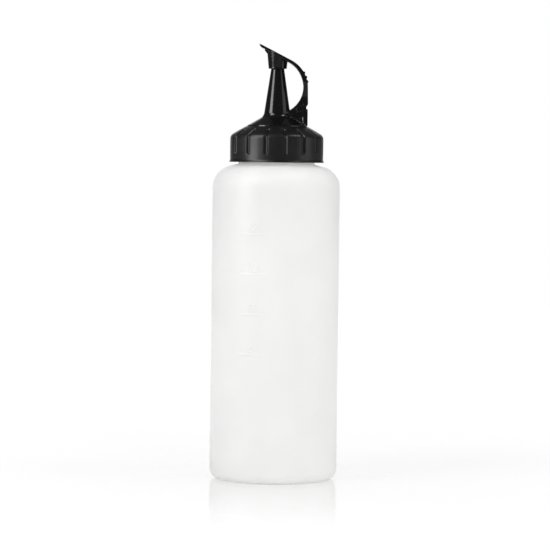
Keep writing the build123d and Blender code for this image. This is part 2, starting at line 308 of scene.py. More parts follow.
# handling is roughness, patch and streak, texture is grain scale, wave scale and wave share, and bump is
# strength and height
plastics = {
    "bottlePlastic": {
        "slot": "bottle_plastic",
        "shader": {
            "IOR": 1.5,
            "Subsurface Weight": 0.4,
            "Subsurface Radius": (1.0, 1.0, 1.0),
            "Subsurface Scale": 0.004,
            "Coat Weight": 1.0,
            "Coat Roughness": 0.3,
        },
        "tones": ((0.948, 0.948, 0.946), (0.966, 0.966, 0.964)),
        "backlit": 0.65,
        "handling": (0.55, 0.03, 0.02),
        "texture": (2600.0, 90.0, 0.6),
        "bump": (0.25, 0.03),
    },
    "capPlastic": {
        "slot": "cap_plastic",
        "shader": {"IOR": 1.49, "Coat Weight": 0.12, "Coat Roughness": 0.18},
        "tones": ((0.004, 0.004, 0.0044), (0.0055, 0.0055, 0.006)),
        "handling": (0.38, 0.05, 0.05),
        "texture": (5200.0, 160.0, 0.3),
        "bump": (0.2, 0.02),
    },
    "spoutPlastic": {
        "slot": "spout_plastic",
        "shader": {"IOR": 1.5},
        "tones": ((0.0035, 0.0035, 0.0037), (0.005, 0.005, 0.0052)),
        "handling": (0.16, 0.03, 0.02),
        "texture": (2500.0, 120.0, 0.8),
        "bump": (0.03, 0.02),
    },
    "sealSilicone": {
        "slot": "seal_silicone",
        "shader": {
            "IOR": 1.41,
            "Subsurface Weight": 0.6,
            "Subsurface Radius": (1.0, 1.0, 0.95),
            "Subsurface Scale": 0.002,
        },
        "tones": ((0.78, 0.78, 0.76), (0.83, 0.83, 0.81)),
        "handling": (0.55, 0.05, 0.0),
        "texture": (3000.0, 200.0, 0.4),
        "bump": (0.3, 0.02),
    },
}
materials = {name: makePlastic(name, look) for name, look in plastics.items()}
print("materials built:", ", ".join(materials))


def finishPiece(piece, plastic, body, node):
    # gives a piece its plastic, lets it ride on its body and hides the CAD node that it stands for
    piece.data.materials.clear()
    piece.data.materials.append(materials[plastic])
    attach(piece, body)
    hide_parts(node)
    triangles = sum(len(face.vertices) - 2 for face in piece.data.polygons)
    print("made", piece.name, "with", triangles, "triangles")


# Screw thread, shared by the neck and the cap, whose turns run between the neck's
thread = {
    "pitch": 4.2, "turns": 1.5, "depth": 1.6, "root": 2.4, "crest": 1.2,
    "topGap": 1.3, "fade": 0.07, "neckLead": 0, "capLead": 0.5,
}


def threadHeight(height, angle, lead):
    # Trapezoid round a right-handed helix, raised by a lead in turns and faded at both ends
    pitch, turns, depth, root, crest, fade = pick(thread, "pitch turns depth root crest fade")
    start = bottle["top"] - thread["topGap"] - root / 2 - pitch * (turns - lead)
    best = 0.0 * height * angle
    for lap in range(int(np.ceil(turns))):
        turn = angle / 360 + lap
        away = np.abs(height - start - pitch * turn)
        ridge = np.clip((root / 2 - away) / ((root - crest) / 2), 0, 1)
        ends = smoothStep(0, fade, turn) * smoothStep(0, fade, turns - turn)
        best = np.maximum(best, depth * ridge * ends)
    return best


# Bottle: one blown shell, with the fill marks, the neck thread and the parting line on its outer wall
bottleHigh = nodeBox("bottle")[1]
bottle = {
    "radius": bottleHigh[0] - 0.05,
    "top": bottleHigh[2],
    "wall": 1.15, "baseCorner": 5.0, "contactInset": 6.2,
    "puntHeight": 3.0, "puntInset": 11.5,
    "neckRadius": 19.0, "neckWall": 1.6, "neckHeight": 12.0, "slope": 15.0,
    "shoulderCorner": 11.0, "neckBlend": 0.8, "rimRound": 0.45,
    "columnStep": 2.8, "rowStep": 6.0, "baseStep": 2.5, "threadStep": 0.34,
    "seamProud": 0.05, "seamWidth": 0.3, "seamFoot": 1.0, "seamFade": 2.0,
    "seamColumns": (0.2, 0.45, 0.7, 1.4),
    "pinchProud": 0.15, "pinchWidth": 0.8, "pinchReach": 16.0,
}
fillMarks = {
    "numbers": ("6", "8", "10", "12"),
    "lowest": 64.3, "step": 19.8, "fromAngle": 10.0, "toAngle": 33.4,
    "lineWidth": 0.9, "proud": 0.16, "soft": 0.34,
    "digitHeight": 3.8, "digitWidth": 0.56, "digitGap": 0.24, "digitLift": 1.35,
    "stroke": 0.6, "gridStep": 0.17,
}


def toSegment(x, z, ax, az, bx, bz):
    # distance to a straight stroke
    share = np.clip(((x - ax) * (bx - ax) + (z - az) * (bz - az)) / ((bx - ax) ** 2 + (bz - az) ** 2), 0, 1)
    return np.hypot(x - ax - share * (bx - ax), z - az - share * (bz - az))


def toRing(x, z, cx, cz, radius):
    # distance to a round stroke
    return np.abs(np.hypot(x - cx, z - cz) - radius)


def toBow(x, z, cx, cz, radius, start, end):
    # distance to part of a round stroke, between two angles
    angle = np.degrees(np.arctan2(z - cz, x - cx))
    c, s = around([start, end])
    apart = np.minimum(*[np.hypot(x - ex, z - ez) for ex, ez in zip(cx + radius * c, cz + radius * s)])
    return np.where((angle >= start) & (angle <= end), toRing(x, z, cx, cz, radius), apart)


# Plain numerals in a box one unit high, each as the distance to its strokes
numerals = {
    "0": lambda x, z: np.abs(toSegment(x, z, 0.28, 0.28, 0.28, 0.72) - 0.28),
    "1": lambda x, z: np.minimum(toSegment(x, z, 0.36, 0, 0.36, 1), toSegment(x, z, 0.36, 1, 0.14, 0.8)),
    "2": lambda x, z: np.minimum.reduce([
        toBow(x, z, 0.28, 0.72, 0.28, -35, 175),
        toSegment(x, z, 0.51, 0.56, 0.02, 0),
        toSegment(x, z, 0.02, 0, 0.55, 0),
    ]),
    "6": lambda x, z: np.minimum(toRing(x, z, 0.28, 0.28, 0.28), toSegment(x, z, 0.04, 0.42, 0.4, 1)),
    "8": lambda x, z: np.minimum(toRing(x, z, 0.28, 0.26, 0.26), toRing(x, z, 0.28, 0.76, 0.24)),
}


def markLevels():
    return fillMarks["lowest"] + fillMarks["step"] * np.arange(len(fillMarks["numbers"]))


def markHeight(height, angle):
    # Raised lines with round ends, a numeral over each, measured along the wall from the front
    run = -np.radians(270 - angle) * bottle["radius"]
    left, right = -np.radians(pick(fillMarks, "toAngle fromAngle")) * bottle["radius"]
    soft, size, gap, lift, stroke = pick(fillMarks, "soft digitHeight digitGap digitLift stroke")
    half, pitch = fillMarks["lineWidth"] / 2, fillMarks["digitWidth"] + gap
    total = 0.0 * height * angle
    for level, number in zip(markLevels(), fillMarks["numbers"]):
        line = toSegment(run, height, left + half, level, right - half, level) - half
        width = pitch * len(number) - gap
        x, z = (run - (left + right) / 2) / size + width / 2, (height - level - lift) / size
        strokes = [numerals[digit](x - k * pitch, z) for k, digit in enumerate(number)]
        digit = np.minimum.reduce(strokes) * size - stroke / 2
        total = np.maximum(total, 1 - smoothStep(-soft / 2, soft / 2, np.minimum(line, digit)))
    return fillMarks["proud"] * total


def makeBottle():
    size = bottle
    radius, top, wall, neck, blend, rim = pick(size, "radius top wall neckRadius neckBlend rimRound")
    corner, bend, rise, fall = *pick(size, "baseCorner shoulderCorner puntHeight"), tangent(size["slope"])
    root = top - size["neckHeight"]
    shoulder = root - (radius - neck) * fall
    bore, inner, shift = neck - size["neckWall"], radius - wall, wall / cosine(size["slope"])
    contact, punt = radius - size["contactInset"], radius - size["puntInset"]
    path = roundedPath([
        (0, rise, 0), (punt, rise, corner), (contact, 0, wall), (radius, 0, corner),
        (radius, shoulder, bend), (neck, root, blend), (neck, top, rim), (bore, top, rim),
        (bore, root + size["neckWall"] * fall - shift, blend),
        (inner, shoulder + wall * fall - shift, bend - wall), (inner, wall, corner - wall),
        (contact - wall / 2, wall, wall), (punt - wall / 2, rise + wall, corner), (0, rise + wall, 0),
    ])
    along = lengthsAlong(path)
    lowest, highest = np.flatnonzero(path[:, 1] <= path[:, 1].min() + 1e-6).max(), path[:, 1].argmax()
    upward = slice(lowest, highest + 1)

    # rows crowd at the thread and at the fill marks
    heights = [np.arange(corner, shoulder, size["rowStep"])]
    heights.append(np.arange(root + blend, top - rim, size["threadStep"]))
    lift, high, stroke, line, fine = pick(fillMarks, "digitLift digitHeight stroke lineWidth gridStep")
    heights += [np.arange(level - line, level + lift + high + stroke, fine) for level in markLevels()]
    stations = [
        np.interp(np.unique(np.concatenate(heights)), path[upward, 1], along[upward]),
        np.arange(0, along[lowest], size["baseStep"]),
        np.arange(along[highest], along[-1], size["rowStep"]),
    ]
    path = withStations(path, np.concatenate(stations), gap=0.05)
    outer = (np.arange(len(path)) < path[:, 1].argmax())[:, None]

    # columns crowd at the fill marks and at the parting line
    dense = np.degrees(fine / radius)
    markStart, markEnd = 270 - fillMarks["toAngle"] - 2 * dense, 270 - fillMarks["fromAngle"] + 2 * dense
    plain = np.arange(0, 360, size["columnStep"])
    plain = plain[(plain < markStart) | (plain > markEnd)]
    seam = np.outer((-1, 1), size["seamColumns"]).ravel()
    angles = np.concatenate([plain, np.arange(markStart, markEnd, dense), seam % 360, [180], 180 + seam])
    angles = np.unique(np.round(angles, 3))

    r, z = path[:, :1], path[:, 1:]
    onWall = outer & (r > radius - touch)
    onNeck = outer & (z > root) & (np.abs(r - neck) < touch)
    proud = np.where(onWall, markHeight(z, angles), 0)
    proud = proud + np.where(onNeck, threadHeight(z, angles, thread["neckLead"]), 0)
    fromSeam = np.radians((angles + 90) % 180 - 90)
    foot, fade, wide, far, high = pick(size, "seamFoot seamFade pinchWidth pinchReach pinchProud")
    seamLine = size["seamProud"] * np.exp(-((r * fromSeam / size["seamWidth"]) ** 2))
    seamLine = seamLine * smoothStep(foot, foot + fade, z) * (1 - smoothStep(root - fade, root, z))
    proud = proud + np.where(outer, seamLine, 0)
    pinch = 1 - smoothStep(wide / 2, wide, np.abs(r * np.sin(fromSeam)))
    reach = 1 - smoothStep(far - fade, far, np.abs(r * np.cos(fromSeam)))
    proud = proud + np.where(outer & (r < punt), high * pinch * reach, 0)
    # each point moves out along the profile's normal, turned with it
    grid = turned(path, angles) + turned(normalsOf(path, closed=False), angles) * proud[..., None]
    poles = ((0, 0, rise - high), (0, 0, rise + wall))
    finishPiece(makePiece("bottleShell", grid[1:-1], poles=poles), "bottlePlastic", "bottle", "bottle")


makeBottle()

# Screw cap: a ring with grip grooves pressed into its outside, and the thread standing in from its bore
capLow, capHigh = nodeBox("screw_cap")
cap = {
    "lipRadius": capHigh[0],
    "bottom": capLow[2],
    "lipFlare": 0.6, "lipHeight": 1.2, "sideHeight": 13.413, "wall": 2.65,
    "slope": 27.5, "dome": 0.4, "hubRise": 0.52, "corner": 3.0, "domeBend": 20,
    "holeRadius": 15.2, "topThickness": 2.0, "edgeRound": 0.3,
    "grooveCount": 15, "grooveTurn": -79.5, "grooveRadius": 1.0, "grooveDepth": 0.9, "grooveLip": 0.6,
    "grooveFoot": 4.9, "grooveReach": 4.9,
    "grooveColumns": (0.17, 0.34, 0.5, 0.64, 0.76, 0.87, 0.97, 1.07, 1.17, 1.27, 1.38, 1.5, 1.75),
    "endPast": 1.5, "endBefore": 0.4, "endRows": 15, "rowStep": 1.1,
    "threadStep": 0.22,
}


def grooveDepth(aside):
    # Depth of a groove against the distance from its centre line: round below, with a rounded lip each side
    ball, lip = cap["grooveRadius"], cap["grooveLip"]
    raised = ball - cap["grooveDepth"]
    edge = np.sqrt((ball + lip) ** 2 - (raised + lip) ** 2)
    inside = np.sqrt(np.clip(ball**2 - aside**2, 0, None)) - raised
    rounded = lip - np.sqrt(np.clip(lip**2 - np.clip(edge - aside, 0, lip) ** 2, 0, None))
    return np.where(aside < edge * ball / (ball + lip), inside, rounded)


def makeCap():
    bottom, hole, small, lipHeight, thick = pick(cap, "bottom holeRadius edgeRound lipHeight topThickness")
    side, fall = cap["lipRadius"] - cap["lipFlare"], tangent(cap["slope"])
    bore = side - cap["wall"]
    edge = bottom + cap["sideHeight"]
    holeTop = edge + (side - hole) * fall + cap["hubRise"]
    crest = (side + hole) / 2
    under = edge + (side - bore) * fall - thick
    corners = [
        (bore, bottom, small), (side + cap["lipFlare"], bottom, small),
        (side, bottom + lipHeight, lipHeight), (side, edge, cap["corner"]),
        (crest, edge + (side - crest) * fall + cap["dome"], cap["domeBend"]), (hole, holeTop, small),
        (hole, holeTop - thick, small), (bore, under, small),
    ]
    # the ring of the profile starts within the round at the foot of the bore
    path = np.roll(roundedPath(corners, closed=True), -4, 0)
    ring = np.vstack([path, path[:1]])
    along = lengthsAlong(ring)
    onSide = (ring[:, 0] > hole + small) & (ring[:, 1] > bottom + lipHeight) & (along < along[-1] / 2)
    start = np.interp(bottom + cap["grooveFoot"], ring[onSide, 1], along[onSide])
    topEdge = np.flatnonzero(onSide)[-1]
    # a groove runs up the side and over the corner, and ends at its reach in along the slope
    end = along[topEdge] - (side - cap["grooveReach"] - ring[topEdge, 0]) / cosine(cap["slope"])
    boreTop = along[np.argmin(np.abs(ring[:, 0] - bore) + np.abs(ring[:, 1] - under))]
    past, before, rows = pick(cap, "endPast endBefore endRows")
    stations = [
        np.arange(0, boreTop, cap["rowStep"]),
        start + np.linspace(-past, before, rows),
        end + np.linspace(-before, past, rows),
        np.arange(boreTop, along[-1] - small, cap["threadStep"]),
    ]
    path = withStations(ring, np.concatenate(stations), gap=0.03)[:-1]
    run = lengthsAlong(path)[:, None]

    across, count, turn = pick(cap, "grooveColumns grooveCount grooveTurn")
    across, pitch = np.array(across), 360 / count
    spare = np.linspace(across[-1], np.pi * side / count, 4)[1:]
    offsets = np.degrees(np.concatenate([-spare[:-1], -across, [0], across, spare]) / side)
    angles = np.sort(np.add.outer(turn + pitch * np.arange(count), offsets).ravel() % 360)
    fromCentre = np.radians((angles - turn + pitch / 2) % pitch - pitch / 2)

    r, z = path[:, :1], path[:, 1:]
    aside = np.hypot(r * np.sin(fromCentre), np.maximum(0, np.maximum(start - run, run - end)))
    groove = np.where(run < end + past, grooveDepth(aside), 0)
    onBore = (np.abs(r - bore) < touch) & (z < under - 0.05) & (z > bottom + small)
    proud = np.where(onBore, threadHeight(z, angles, thread["capLead"]), 0) - groove
    grid = turned(path, angles) + turned(normalsOf(path, closed=True), angles) * proud[..., None]
    finishPiece(makePiece("groovedCap", grid, loopRows=True), "capPlastic", "cap", "screw_cap")


makeCap()

# Seal ring, between the rim of the neck and the flange of the spout
sealLow, sealHigh = nodeBox("neck_seal")
sealRing = {
    "outer": sealHigh[0],
    "inner": 17.0,
    "bottom": sealLow[2],
    "top": sealHigh[2],
    "edgeRound": 0.2, "columns": 144,
}


def makeSealRing():
    inner, outer, bottom, top, edge = pick(sealRing, "inner outer bottom top edgeRound")
    corners = [(inner, bottom, edge), (outer, bottom, edge), (outer, top, edge), (inner, top, edge)]
    path = roundedPath(corners, arcStep=22, closed=True)
    piece = makePiece("neckSealRing", turned(path, fullTurn(sealRing["columns"])), loopRows=True)
    finishPiece(piece, "sealSilicone", "spout_assembly", "neck_seal")


makeSealRing()

# Spout: a turned bell, flare and nozzle, with the two ears that carry the hinge
spoutHigh = nodeBox("spout")[1]
spout = {
    "top": spoutHigh[2],
    "flangeRadius": spoutHigh[0],
    "bottom": 171.5, "flangeEdge": 1.05, "rimRadius": 15.0, "drumFoot": 174.736,
    "rimTop": 177.582,
    "flareSlope": 29.5, "flareBlend": 3.8, "tipRadius": 3.16, "taper": 8.4,
    "tipChamfer": 0.95, "tipFlat": 2.05,
    "outletRadius": 1.25, "outletLength": 3.0,
    "countersink": 1.75, "countersinkDepth": 0.3, "wall": 1.5, "bellWall": 1.6,
    "edgeRound": 0.3, "bellEdge": 0.2, "rimEdge": 0.12, "rowStep": 0.9,
    "columns": 144,
}
hinge = {
    "x": 10.7, "z": 185.582,
    "archInset": 11.45, "archRise": 11.6, "archRadius": 13.7,
    "earRadius": 4.0, "earBackAngle": 4.0, "earBack": 15.3, "earInner": 2.35, "earOuter": 4.2,
    "earEdge": 0.45,
    "bossRadius": 2.3, "bossProud": 0.3, "holeRadius": 1.31, "bossMargin": 0.17,
    "earStep": 2.5, "earFrontAngle": 120, "earFarthest": 14.0,
    "rimInset": 0.03, "rimOverlap": 0.25, "nozzleSink": 5.8, "flareSink": 0.9,
    "foot": 0.75, "discRadius": 3.8, "webDrop": 0.45, "backRib": 12.9,
}
archX, archZ = hinge["x"] - hinge["archInset"], hinge["z"] + hinge["archRise"]


def nozzleRadius(z):
    return spout["tipRadius"] + (spout["top"] - z) * tangent(spout["taper"])


def flareHeight(r):
    return spout["rimTop"] + (spout["rimRadius"] - r) * tangent(spout["flareSlope"])


def spoutProfile():
    flareTangent, taperTangent = tangent(spout["flareSlope"]), tangent(spout["taper"])
    rimRadius, rimTop, flange, outlet = pick(spout, "rimRadius rimTop flangeRadius outletRadius")
    bottom, top, wall, small, blend = pick(spout, "bottom top wall edgeRound flareBlend")
    foot = rimTop + flareTangent * (rimRadius - nozzleRadius(rimTop)) / (1 - flareTangent * taperTangent)
    bell, chamfer = rimRadius - spout["bellWall"], top - spout["tipChamfer"]
    underTop = rimTop - wall / cosine(spout["flareSlope"])
    boreFoot = nozzleRadius(foot) - wall / cosine(spout["taper"])
    corners = [
        (bell, bottom, spout["bellEdge"]), (flange, bottom, small),
        (flange, bottom + spout["flangeEdge"], small), (rimRadius, spout["drumFoot"], small),
        (rimRadius, rimTop, spout["rimEdge"]), (nozzleRadius(foot), foot, blend),
        (nozzleRadius(chamfer), chamfer, small), (spout["tipFlat"], top, small),
        (spout["countersink"], top, 0), (outlet, top - spout["countersinkDepth"], 0),
        (outlet, top - spout["outletLength"], outlet),
        (boreFoot, underTop + (rimRadius - boreFoot) * flareTangent, blend),
        (bell, underTop + (rimRadius - bell) * flareTangent, wall),
    ]
    path = roundedPath(corners, arcStep=5, closed=True)
    return evened(np.vstack([path, path[:1]]), spout["rowStep"], gap=0.15)[:-1]


def earReach(angle, y):
    # How far an ear reaches from the pivot, found by halving: it ends at the arch circle, the round top, the
    # upright back, the rim, and surfaces sunk in the nozzle and the flare
    size = hinge
    c, s = around(angle)
    near, far = 0 * angle + 0 * y + size["bossRadius"], 0 * angle + 0 * y + size["earFarthest"]
    upward = (angle > size["earBackAngle"]) & (angle < size["earFrontAngle"])
    for _ in range(30):
        middle = (near + far) / 2
        x, z = size["x"] + middle * c, size["z"] + middle * s
        r = np.hypot(x, y)
        limits = [
            np.hypot(x - archX, z - archZ) - size["archRadius"],
            np.where(upward, size["earRadius"] - middle, np.inf),
            np.where(upward, np.inf, size["earBack"] - x),
            np.maximum(spout["rimRadius"] - size["rimInset"] - r, z - spout["rimTop"] + size["rimOverlap"]),
            r - size["nozzleSink"],
            z - flareHeight(r) + size["flareSink"],
        ]
        inside = np.minimum.reduce(limits) > 0
        near, far = np.where(inside, middle, near), np.where(inside, far, middle)
    return near


def makeEar(name, side):
    # A ring-shaped grid about the pivot: each column is a closed section of the ear in one direction
    size = hinge
    angle = np.arange(-180, 180, size["earStep"])[None]
    c, s = around(angle)
    inner, outer, edge, foot, disc = pick(size, "earInner earOuter earEdge foot discRadius")
    boss, proud, hole = pick(size, "bossRadius bossProud holeRadius")
    # the rows go out over the inner face, round both edges, and back over the outer face
    shares = np.linspace(0, 1, 14)[1:]
    face = np.ones(len(shares))
    rising, falling = [1 - part for part in around(np.linspace(0, 90, 6))]
    rounds = inner + edge * rising[1:], outer - edge * falling[:-1]
    rowY = np.concatenate([inner * face, *rounds, outer * face])[:, None]
    reach = earReach(angle, rowY)
    share = np.concatenate([shares, np.ones(10), shares[::-1]])[:, None]
    inset = np.concatenate([face, falling[1:], rising[:-1], face])[:, None]
    inset = inset * np.minimum(edge, reach - boss - size["bossMargin"])
    first = np.where(rowY < outer, hole + 0.1, boss + 0.12)
    # rows crowd at the edge of the disc round the pivot, beyond which the web of the ear is thinner
    knee = np.minimum(disc + 0.4 - first, 0.8 * (reach - inset - first))
    crowded = np.interp(share, [0, 0.08, 0.16, 0.24, 0.31, 0.38, 0.46], [0, 0.35, 0.7, 0.78, 0.86, 0.93, 1])
    beyond = np.interp(share, [0.46, 0.54, 0.68, 0.84, 1], [0, 0.15, 0.42, 0.71, 1])
    rho = first + knee * crowded + (reach - inset - first - knee) * beyond
    x, z = size["x"] + rho * c, size["z"] + rho * s
    # the foot of each face spreads in a hollow round where it meets the flare or the nozzle
    r = np.hypot(x, rowY)
    above = (z - flareHeight(r)) * cosine(spout["flareSlope"])
    beside = (r - nozzleRadius(z)) * cosine(spout["taper"])
    gap = foot - np.hypot(np.clip(foot - above, 0, None), np.clip(foot - beside, 0, None))
    spread = foot - np.sqrt(foot**2 - (foot - np.clip(gap, 0, foot)) ** 2)
    web = smoothStep(disc, disc + 0.35, rho) * (1 - smoothStep(-0.25, 0.15, x - size["backRib"]))
    y = rowY + np.where(rowY > (inner + outer) / 2, spread - size["webDrop"] * web, 0)
    grid = together(x, side * y, z)
    # then over the boss, down the hole and back to the inner face, as a radius and a place along y
    closing = np.array([
        (boss + 0.04, outer + 0.03), (boss - 0.02, outer + proud - 0.1), (boss - 0.14, outer + proud),
        (hole + 0.12, outer + proud), (hole + 0.02, outer + proud - 0.08), (hole, outer + proud - 0.2),
        (hole, (inner + outer) / 2), (hole, inner + 0.15), (hole + 0.02, inner + 0.03),
    ])
    rho, y = closing[:, :1], closing[:, 1:]
    closing = together(size["x"] + rho * c, side * y, size["z"] + rho * s)
    return makePiece(name, np.vstack([grid, closing]), loopRows=True)


def makeSpout():
    piece = makePiece("turnedSpout", turned(spoutProfile(), fullTurn(spout["columns"])), loopRows=True)
    united(piece, [makeEar("ear" + str(side), side) for side in (1, -1)])
    finishPiece(piece, "spoutPlastic", "spout_assembly", "spout")


makeSpout()

# Flip lid: a curved strap with a thumb tab, ridges on its back, a cup for the nozzle tip, and its hinge pins
lidLow = nodeBox("flip_lid")[0]
lid = {
    "tabTip": lidLow[0] + 0.05,
    "crown": 213.782, "slope": 27.2, "plate": 1.3, "tabUnderSlope": 51.0,
    "tipThickness": 0.95, "tabReach": 9.5, "bend": 15.5,
    "archInward": 0.2, "archMeets": 4.4,
    "bendX": -0.379, "bendZ": 196.55, "backLean": 1.2,
    "heelX": 15.45, "heelZ": 188.28, "heelRound": 0.5, "halfWidth": 5.2,
    "armHalfWidth": 2.1, "armNarrow": 192.982, "armWide": 198.982,
    "flankRound": 4.0,
    "farBelow": 150, "farAbove": 240, "farAhead": 40,
    "tabHalfWidth": 2.8, "tabRound": 0.8, "tabLeast": 0.4, "wedgeSharpness": 5,
    "edge": 0.38, "knuckleRadius": 2.5,
    "pinRadius": 1.25, "pinReach": 4.5, "pinEdge": 0.25, "pinColumns": 48, "pinStep": 0.8,
    "ribHalfWidth": 2.2, "ribStart": 2.6, "ribEnd": -3.95, "ribSink": 0.75, "ribEdge": 0.35,
    "ridges": (199.68, 201.88, 204.08),
    "ridgeRadius": 0.7, "ridgeProud": 0.55, "ridgeFoot": 0.12, "ridgeFootWidth": 0.95,
}
cup = {
    "mouth": 205.982, "mouthRadius": 4.6, "wallFoot": 0.4, "draft": 5.3,
    "bore": 3.75, "boreTop": 208.232,
    "stemRadius": 2.2, "stemTop": 210.632, "lipRound": 0.25, "skin": 0.5,
    "columns": 96, "rowStep": 0.7,
}


def lidTop(x):
    return lid["crown"] - x * tangent(lid["slope"])


def makeStrap(name, inner, outer, halfWidth, edge, ridgeHeight=None):
    # A bar between two lines of points: each section is a rectangle with rounded edges from the inner to the
    # outer point, and halfWidth gives the width at every point of it
    along = outer - inner
    thick = np.hypot(along[:, 0], along[:, 1])[:, None]
    normal = along / thick
    middle = (inner + outer) / 2
    c, s = around(np.linspace(0, 90, 5))
    flat, side = np.array([-0.9, -0.6, -0.3, 0, 0.3, 0.6, 0.9]), np.array([0.5, 0, -0.5])
    # half of a section's outline, as shares of its flats and its rounds: the other half is its opposite
    halves = [
        [np.ones(17), side],
        [-np.ones(5), flat, np.ones(8)],
        [s, np.ones(7), c, 0 * side],
        [-c, 0 * flat, s, np.ones(3)],
    ]
    shareU, shareV, roundU, roundV = [np.outer((1, -1), np.concatenate(half)).ravel() for half in halves]
    bevel = np.minimum(edge, 0.46 * thick)
    u = shareU * (thick / 2 - bevel) + bevel * roundU
    x = middle[:, :1] + u * normal[:, :1]
    z = middle[:, 1:] + u * normal[:, 1:]
    width = halfWidth(x, z)
    bevelY = np.minimum(bevel, 0.46 * width)
    y = shareV * (width - bevelY) + bevelY * roundV
    if ridgeHeight is not None:
        # ridges stand out along the outer side and run out over its rounded edges
        lift = ridgeHeight(outer)[:, None] * np.clip(shareU, 0, 1) * np.clip(roundU, 0, 1)
        x, z = x + lift * normal[:, :1], z + lift * normal[:, 1:]
    grid = together(x, y, z)
    return makePiece(name, grid, poles=(grid[0].mean(0), grid[-1].mean(0)))


def rayToPath(centre, angles, path):
    # where rays from a centre, at rising angles, meet a path that goes round it
    run = lengthsAlong(path)
    fine = np.arange(0, run[-1], 0.02)
    x, z = np.interp(fine, run, path[:, 0]), np.interp(fine, run, path[:, 1])
    bearing = np.degrees(np.arctan2(z - centre[1], x - centre[0]))
    order = np.argsort(bearing)
    return together(*[np.interp(angles, bearing[order], line[order]) for line in (x, z)])


def lidStations():
    # inner and outer points of the strap: the plate with its tab, the arch, then the half-round knuckle
    pivot, half = np.array([hinge["x"], hinge["z"]]), lid["knuckleRadius"]
    drop = lid["plate"] / cosine(lid["slope"])
    hingeBearing = -np.degrees(np.arctan2(hinge["archRise"], hinge["archInset"]))
    archLevel = lidTop(lid["archMeets"]) - drop
    archTop = np.degrees(np.arcsin((archLevel - archZ) / (hinge["archRadius"] - lid["archInward"])))
    knuckle = pivot + half * direction(hingeBearing)
    # the corner where the straight back, leaning in, meets the line of the top
    lean, fall = tangent(lid["backLean"]), tangent(lid["slope"])
    heelX, heelZ, tip = pick(lid, "heelX heelZ tabTip")
    cornerX = heelX - (lidTop(heelX) - heelZ) * lean / (1 - fall * lean)
    bend = (cornerX, lidTop(cornerX), lid["bend"])
    heel = (heelX, heelZ, lid["heelRound"])
    outline = roundedPath([(-2, lidTop(-2), 0), bend, heel, (*knuckle, 0)], arcStep=2)
    # stations crowd at the ridges
    runs = [np.arange(archTop, 36, -2.5), np.arange(36, 8, -0.55), np.arange(8, hingeBearing, -2.0)]
    archAngles = np.concatenate([*runs, [hingeBearing]])
    # above the ears the arm is thicker on its inner side
    archInside = hinge["archRadius"] - lid["archInward"] * smoothStep(-5, 20, archAngles)
    archInner = np.array([archX, archZ]) + archInside[:, None] * direction(archAngles)
    archOuter = rayToPath((archX, archZ), archAngles, outline)
    archOuter[-1] = knuckle
    innerEnd, outerEnd = archInner[0, 0], archOuter[0, 0]
    crowd = 1 - np.cos(np.radians(np.arange(0, 61, 6)))
    share = np.concatenate([0.16 * crowd / crowd[-1], np.linspace(0.2, 1, 22)[:-1]])
    outerX, innerX = tip + share * (outerEnd - tip), tip + share * (innerEnd - tip)
    # the plate's thickness is the soft minimum of the tab's wedge and the plate: -log(e^-ka + e^-kb) / k
    wedge = (innerX - tip) * (tangent(lid["tabUnderSlope"]) - fall) + lid["tipThickness"]
    sharpness = lid["wedgeSharpness"]
    under = -np.log(np.exp(-wedge * sharpness) + np.exp(-drop * sharpness)) / sharpness
    plateOuter, plateInner = together(outerX, lidTop(outerX)), together(innerX, lidTop(innerX) - under)
    c, s = around(np.linspace(0, 84, 9)[1:, None])
    middle, aside = pivot + half * s * direction(hingeBearing - 90), half * c * direction(hingeBearing)
    inner = np.vstack([plateInner, archInner, middle - aside])
    return inner, np.vstack([plateOuter, archOuter, middle + aside])


def lidHalfWidth(x, z):
    # the narrower of the width against height, for the arm, and the width against x, for the tab
    narrow, wide, tip, flank = pick(lid, "armHalfWidth halfWidth tabTip flankRound")
    arm = roundedPath([
        (narrow, lid["farBelow"], 0), (narrow, lid["armNarrow"], flank),
        (wide, lid["armWide"], flank), (wide, lid["farAbove"], 0),
    ])
    plan = [
        (tip - touch, 0, 0), (tip, lid["tabHalfWidth"], lid["tabRound"]), (0, wide, 2 * wide),
        (lid["farAhead"], wide, 0),
    ]
    plan = roundedPath(plan, arcStep=4)
    tab = np.maximum(np.interp(x, plan[:, 0], plan[:, 1]), lid["tabLeast"])
    return np.minimum(np.interp(z, arm[:, 1], arm[:, 0]), tab)


def ridgeHeight(points):
    # three round ridges across the bend, each the top of a rod sunk in it, with a soft foot
    radius, bend = pick(lid, "ridgeRadius bend")
    total = 0 * points[:, 0]
    for height in lid["ridges"]:
        seatX = lid["bendX"] + bend * np.cos(np.arcsin((height - lid["bendZ"]) / bend))
        away = np.hypot(points[:, 0] - seatX, points[:, 1] - height)
        top = np.sqrt(np.clip(radius**2 - away**2, 0, None)) - radius + lid["ridgeProud"]
        soft = lid["ridgeFoot"] * np.exp(-((away / lid["ridgeFootWidth"]) ** 4))
        total = np.maximum(total, np.maximum(top, soft))
    return total


